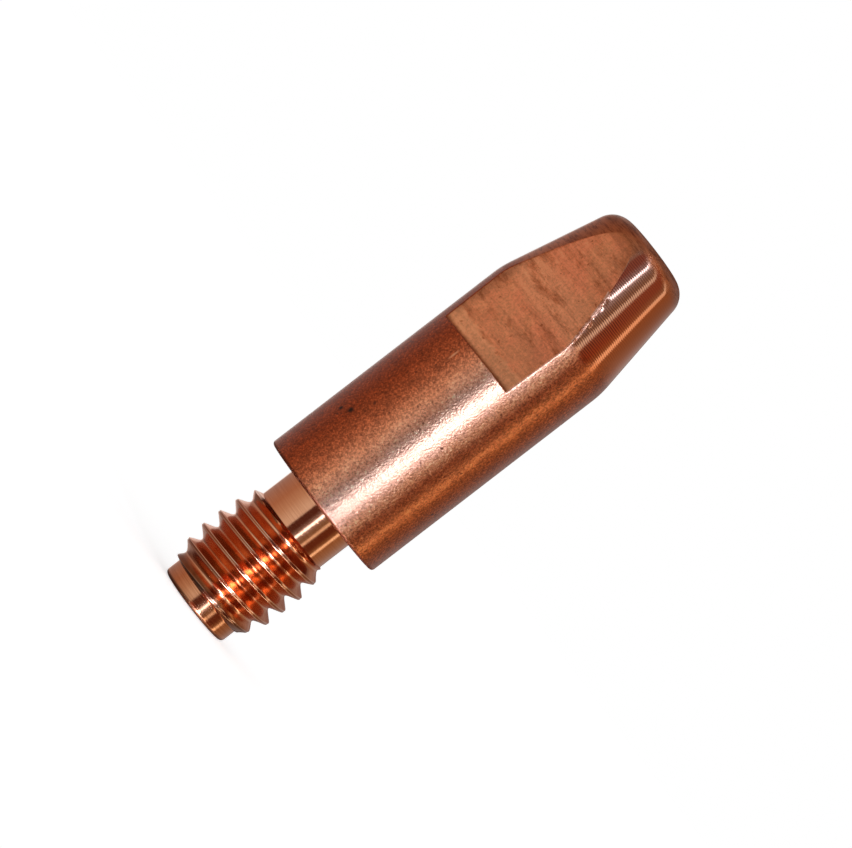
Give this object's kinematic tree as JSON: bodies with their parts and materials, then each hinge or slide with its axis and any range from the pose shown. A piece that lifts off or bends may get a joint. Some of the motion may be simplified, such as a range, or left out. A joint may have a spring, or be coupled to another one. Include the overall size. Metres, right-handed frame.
{
  "type": "welding contact tip",
  "caption": "Turned copper contact tip for a wire-feed welding torch: threaded stud, undercut neck, round body with spanner flats and a tapered, rounded nose around a wire bore.",
  "frame": {"origin": "centre of the threaded end's face, on which the tip stands", "axes": "+Z along the turning axis from the threaded end to the wire exit; the spanner flats face +Y and -Y"},
  "size_m": [0.0078, 0.0078, 0.028],
  "materials": {
    "copper": "bare turned copper, satin body, bright thread and neck"
  },
  "bodies": {
    "root": {"contact_tip": "copper"}
  },
  "joints": []
}
